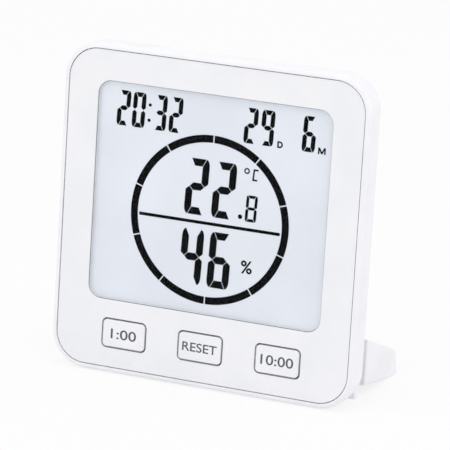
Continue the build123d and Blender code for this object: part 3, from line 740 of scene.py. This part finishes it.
def ring_tree(ink):
    """Geometry nodes that repeat one part of a ring about the body's depth axis."""
    tree = bpy.data.node_groups.new("ring_of_parts", "GeometryNodeTree")
    tree.is_modifier = True
    face = tree.interface
    face.new_socket("Geometry", in_out="INPUT", socket_type="NodeSocketGeometry")
    face.new_socket("Parts", in_out="INPUT", socket_type="NodeSocketInt").default_value = 10
    face.new_socket("Centre", in_out="INPUT", socket_type="NodeSocketVector")
    face.new_socket("Lean", in_out="INPUT", socket_type="NodeSocketVector")
    face.new_socket("Geometry", in_out="OUTPUT", socket_type="NodeSocketGeometry")
    inlet = add(tree, "NodeGroupInput")
    points = add(tree, "GeometryNodePoints", Count=inlet.outputs["Parts"], Position=inlet.outputs["Centre"])
    step = add(tree, "ShaderNodeMath", {"operation": "DIVIDE"})
    step.inputs[0].default_value = 2 * math.pi
    tree.links.new(inlet.outputs["Parts"], step.inputs[1])
    index = add(tree, "GeometryNodeInputIndex")
    angle = add(tree, "ShaderNodeMath", {"operation": "MULTIPLY"})
    tree.links.new(index.outputs[0], angle.inputs[0])
    tree.links.new(step.outputs[0], angle.inputs[1])
    spin = add(tree, "ShaderNodeCombineXYZ", Z=angle.outputs[0])
    turned = add(
        tree,
        "GeometryNodeInstanceOnPoints",
        Points=points.outputs[0],
        Instance=inlet.outputs["Geometry"],
    )
    own = add(tree, "FunctionNodeEulerToRotation", Euler=spin.outputs[0])
    lean = add(tree, "FunctionNodeEulerToRotation", Euler=inlet.outputs["Lean"])
    both = add(tree, "FunctionNodeRotateRotation", {"rotation_space": "LOCAL"})
    tree.links.new(lean.outputs[0], both.inputs[0])
    tree.links.new(own.outputs[0], both.inputs[1])
    tree.links.new(both.outputs[0], turned.inputs["Rotation"])
    real = add(tree, "GeometryNodeRealizeInstances", Geometry=turned.outputs[0])
    painted = add(tree, "GeometryNodeSetMaterial", Geometry=real.outputs[0], Material=ink)
    outlet = add(tree, "NodeGroupOutput")
    tree.links.new(painted.outputs[0], outlet.inputs[0])
    return tree


class THG_OT_timer_ring(bpy.types.Operator):
    """Repeat one dark part round the display's ring"""

    bl_idname = "thermo.timer_ring"
    bl_label = "Timer ring"

    def execute(self, context):
        look = context.scene.display_look
        ink = bpy.data.materials["switched_crystal"]
        sweep = 360 / look.ring_parts
        gap = math.degrees(look.ring_gap)
        start = 90 + gap / 2
        outer = look.ring_outer / MM
        inner = outer - look.ring_stroke / MM
        piece = linked("timer_ring", ring_part(inner, outer, start, start + sweep - gap))
        tree = ring_tree(ink)
        repeat = piece.modifiers.new("ring_of_parts", "NODES")
        repeat.node_group = tree
        names = {item.name: item.identifier for item in tree.interface.items_tree if item.in_out == "INPUT"}
        repeat[names["Parts"]] = look.ring_parts
        repeat[names["Centre"]] = on_face(0, look.ring_height / MM) + BACK * FIGURE_DEPTH
        repeat[names["Lean"]] = FACE_TURN.to_euler()
        context.view_layer.update()
        made = bpy.data.meshes.new_from_object(piece.evaluated_get(context.evaluated_depsgraph_get()))
        piece.modifiers.clear()
        piece.data = made
        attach(piece, HOUSING)
        return {"FINISHED"}


class THG_OT_key_prints(bpy.types.Operator):
    """Print the legends and outlines of the front keys"""

    bl_idname = "thermo.key_prints"
    bl_label = "Key prints"

    def execute(self, context):
        look = context.scene.housing_look
        ink = print_ink_and_painted_shade(look.ink)
        places = {name: face_place(*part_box(f"{name}_key")) for name in LEGENDS}
        wide = look.outline_width / MM
        lines = [outline_band(*place, KEY_LINE, wide) for place in places.values()]
        flat_piece("key_outlines", [], lines, -PRINT_T, PRINT_T, ink)
        for name, (text, stretch, height) in LEGENDS.items():
            points = frame["nodes"][f"{name}_key"].data.vertices
            top = min((point.co - FACE).dot(BACK) for point in points)
            lettering(
                f"{name}_legend",
                text,
                places[name],
                height,
                top - PRINT_T,
                PRINT_T,
                ink,
                LEGEND_BOLD,
                body=f"{name}_button",
                stretch=stretch,
            )
        return {"FINISHED"}


class THG_OT_inner_works(bpy.types.Operator):
    """Finish the board, cells, contacts and fasteners"""

    bl_idname = "thermo.inner_works"
    bl_label = "Inner works"

    def execute(self, context):
        steel = plated_metal(
            "zinc_plated_steel", linear("#B9BABC"), linear("#A6A7AA"), roughness=0.34, scratch_mm=0.25
        )
        nickel = plated_metal(
            "nickel_plated_steel", linear("#CFCBC2"), linear("#BEBAB1"), roughness=0.22, scratch_mm=0.15
        )
        can = plated_metal(
            "drawn_steel_can", linear("#C4C4C6"), linear("#B6B6B9"), roughness=0.28, scratch_mm=0.2
        )
        black = black_abs()
        resin = potting_resin()
        jacket = cell_jacket()
        rubber = rear_rubber()
        finishes = {
            "housing_screws": steel,
            "board_screws": steel,
            "stand_pins": steel,
            "battery_contacts": nickel,
            "link_contact": nickel,
            "battery_springs": nickel,
            "quartz_crystal": can,
            "lcd_holder": black,
            "front_switches": black,
            "rear_switches": black,
            "humidity_sensor": black,
            "buzzer": resin,
            "controller_blob": resin,
            "temperature_sensor": resin,
            "upper_cell": jacket,
            "lower_cell": jacket,
            "zebra_strips": carbon_silicone(),
            "circuit_board": solder_mask(),
        }
        for name in ("minute", "clear", "tens", "set", "up", "down"):
            finishes[f"{name}_plunger"] = black
        for name in ("set", "up", "down"):
            finishes[f"{name}_key"] = rubber
        for name, material in finishes.items():
            finish_node(name, material)
        return {"FINISHED"}


def seen_directly(tree):
    """Socket that is one where the camera sees a surface straight, in a gloss or through glass."""
    ray = add(tree, "ShaderNodeLightPath")
    first = add(tree, "ShaderNodeMath", {"operation": "MAXIMUM"})
    tree.links.new(ray.outputs["Is Camera Ray"], first.inputs[0])
    tree.links.new(ray.outputs["Is Glossy Ray"], first.inputs[1])
    both = add(tree, "ShaderNodeMath", {"operation": "MAXIMUM"})
    tree.links.new(first.outputs[0], both.inputs[0])
    tree.links.new(ray.outputs["Is Transmission Ray"], both.inputs[1])
    return both.outputs[0]


def pale_floor():
    """Matt white paper that keeps the shadow and looks nearly white to the camera."""
    floor_mesh = bpy.data.meshes.new("floor")
    sides = ((-1, -1), (1, -1), (1, 1), (-1, 1))
    corners = [(x * FLOOR_REACH, y * FLOOR_REACH, FLOOR_DROP) for x, y in sides]
    floor_mesh.from_pydata(corners, [], [(0, 1, 2, 3)])
    floor = linked("floor", floor_mesh)
    paper = bpy.data.materials.new("white_paper")
    paper.use_nodes = True
    tree = paper.node_tree
    tree.nodes.clear()
    share = add(tree, "ShaderNodeMath", {"operation": "MULTIPLY"})
    tree.links.new(seen_directly(tree), share.inputs[0])
    share.inputs[1].default_value = FLOOR_GLOW
    matte = add(tree, "ShaderNodeBsdfDiffuse", Color=linear("#F4F4F5"))
    glow = add(tree, "ShaderNodeEmission", Color=WHITE, Strength=1.0)
    mix = add(tree, "ShaderNodeMixShader", Fac=share.outputs[0])
    tree.links.new(matte.outputs[0], mix.inputs[1])
    tree.links.new(glow.outputs[0], mix.inputs[2])
    add(tree, "ShaderNodeOutputMaterial", Surface=mix.outputs[0])
    floor_mesh.materials.append(paper)


def soft_room():
    """Even light from all round, which looks white to the camera."""
    world = bpy.data.worlds.new("soft_room")
    world.use_nodes = True
    bpy.context.scene.world = world
    tree = world.node_tree
    tree.nodes.clear()
    room = add(tree, "ShaderNodeBackground", Color=linear("#FEFEFF"), Strength=ROOM_LIGHT)
    backdrop = add(tree, "ShaderNodeBackground", Color=WHITE, Strength=1.0)
    mix = add(tree, "ShaderNodeMixShader", Fac=seen_directly(tree))
    tree.links.new(room.outputs[0], mix.inputs[1])
    tree.links.new(backdrop.outputs[0], mix.inputs[2])
    add(tree, "ShaderNodeOutputWorld", Surface=mix.outputs[0])


def softboxes():
    """Large square lamps that face the body."""
    middle = on_face(0, 0, LAMP_AIM_DEPTH)
    for name, (place, side, power) in LAMPS.items():
        light = bpy.data.lights.new(name, "AREA")
        light.size = side
        light.energy = power
        lamp = linked(name, light)
        lamp.location = place
        lamp.rotation_mode = "QUATERNION"
        lamp.rotation_quaternion = (middle - Vector(place)).to_track_quat("-Z", "Y")


def view_camera():
    """Camera at the photograph's viewing angle."""
    lens = bpy.data.cameras.new("camera")
    lens.sensor_width = SENSOR_WIDTH
    lens.lens = FOCAL_LENGTH
    lens.shift_x = SHIFT_X
    lens.shift_y = SHIFT_Y
    camera = linked("camera", lens)
    camera.location = CAMERA_PLACE
    camera.rotation_mode = "QUATERNION"
    level = (CAMERA_AIM - CAMERA_PLACE).to_track_quat("-Z", "Y")
    roll = Matrix.Rotation(math.radians(CAMERA_ROLL), 3, "Z")
    camera.rotation_quaternion = level @ roll.to_quaternion()
    bpy.context.scene.camera = camera


class THG_OT_studio(bpy.types.Operator):
    """Set up the floor, soft light and camera"""

    bl_idname = "thermo.studio"
    bl_label = "Studio"

    def execute(self, context):
        context.scene.view_settings.view_transform = "Standard"
        pale_floor()
        soft_room()
        softboxes()
        view_camera()
        return {"FINISHED"}


class THG_PT_panel(bpy.types.Panel):
    """Steps that dress the thermo-hygrometer"""

    bl_label = "Thermo-hygrometer"
    bl_idname = "THG_PT_panel"
    bl_space_type = "VIEW_3D"
    bl_region_type = "UI"
    bl_category = "Thermo-hygrometer"

    def draw(self, context):
        for step in STEPS:
            self.layout.operator(step.bl_idname)
        for look in (context.scene.housing_look, context.scene.display_look):
            for setting in look.bl_rna.properties:
                if setting.identifier not in ("rna_type", "name"):
                    self.layout.prop(look, setting.identifier)


STEPS = (
    THG_OT_studio,
    THG_OT_moulded_shells,
    THG_OT_display_cell,
    THG_OT_figures,
    THG_OT_timer_ring,
    THG_OT_key_prints,
    THG_OT_inner_works,
)
CLASSES = (HousingLook, DisplayLook, *STEPS, THG_PT_panel)


def register():
    """Add the classes and settings."""
    for item in CLASSES:
        bpy.utils.register_class(item)
    bpy.types.Scene.housing_look = bpy.props.PointerProperty(type=HousingLook)
    bpy.types.Scene.display_look = bpy.props.PointerProperty(type=DisplayLook)


def unregister():
    """Take the classes and settings away."""
    del bpy.types.Scene.display_look
    del bpy.types.Scene.housing_look
    for item in reversed(CLASSES):
        bpy.utils.unregister_class(item)


def main():
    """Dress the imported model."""
    register()
    for step in STEPS:
        group, name = step.bl_idname.split(".")
        getattr(getattr(bpy.ops, group), name)()


if __name__ == "__main__":
    main()
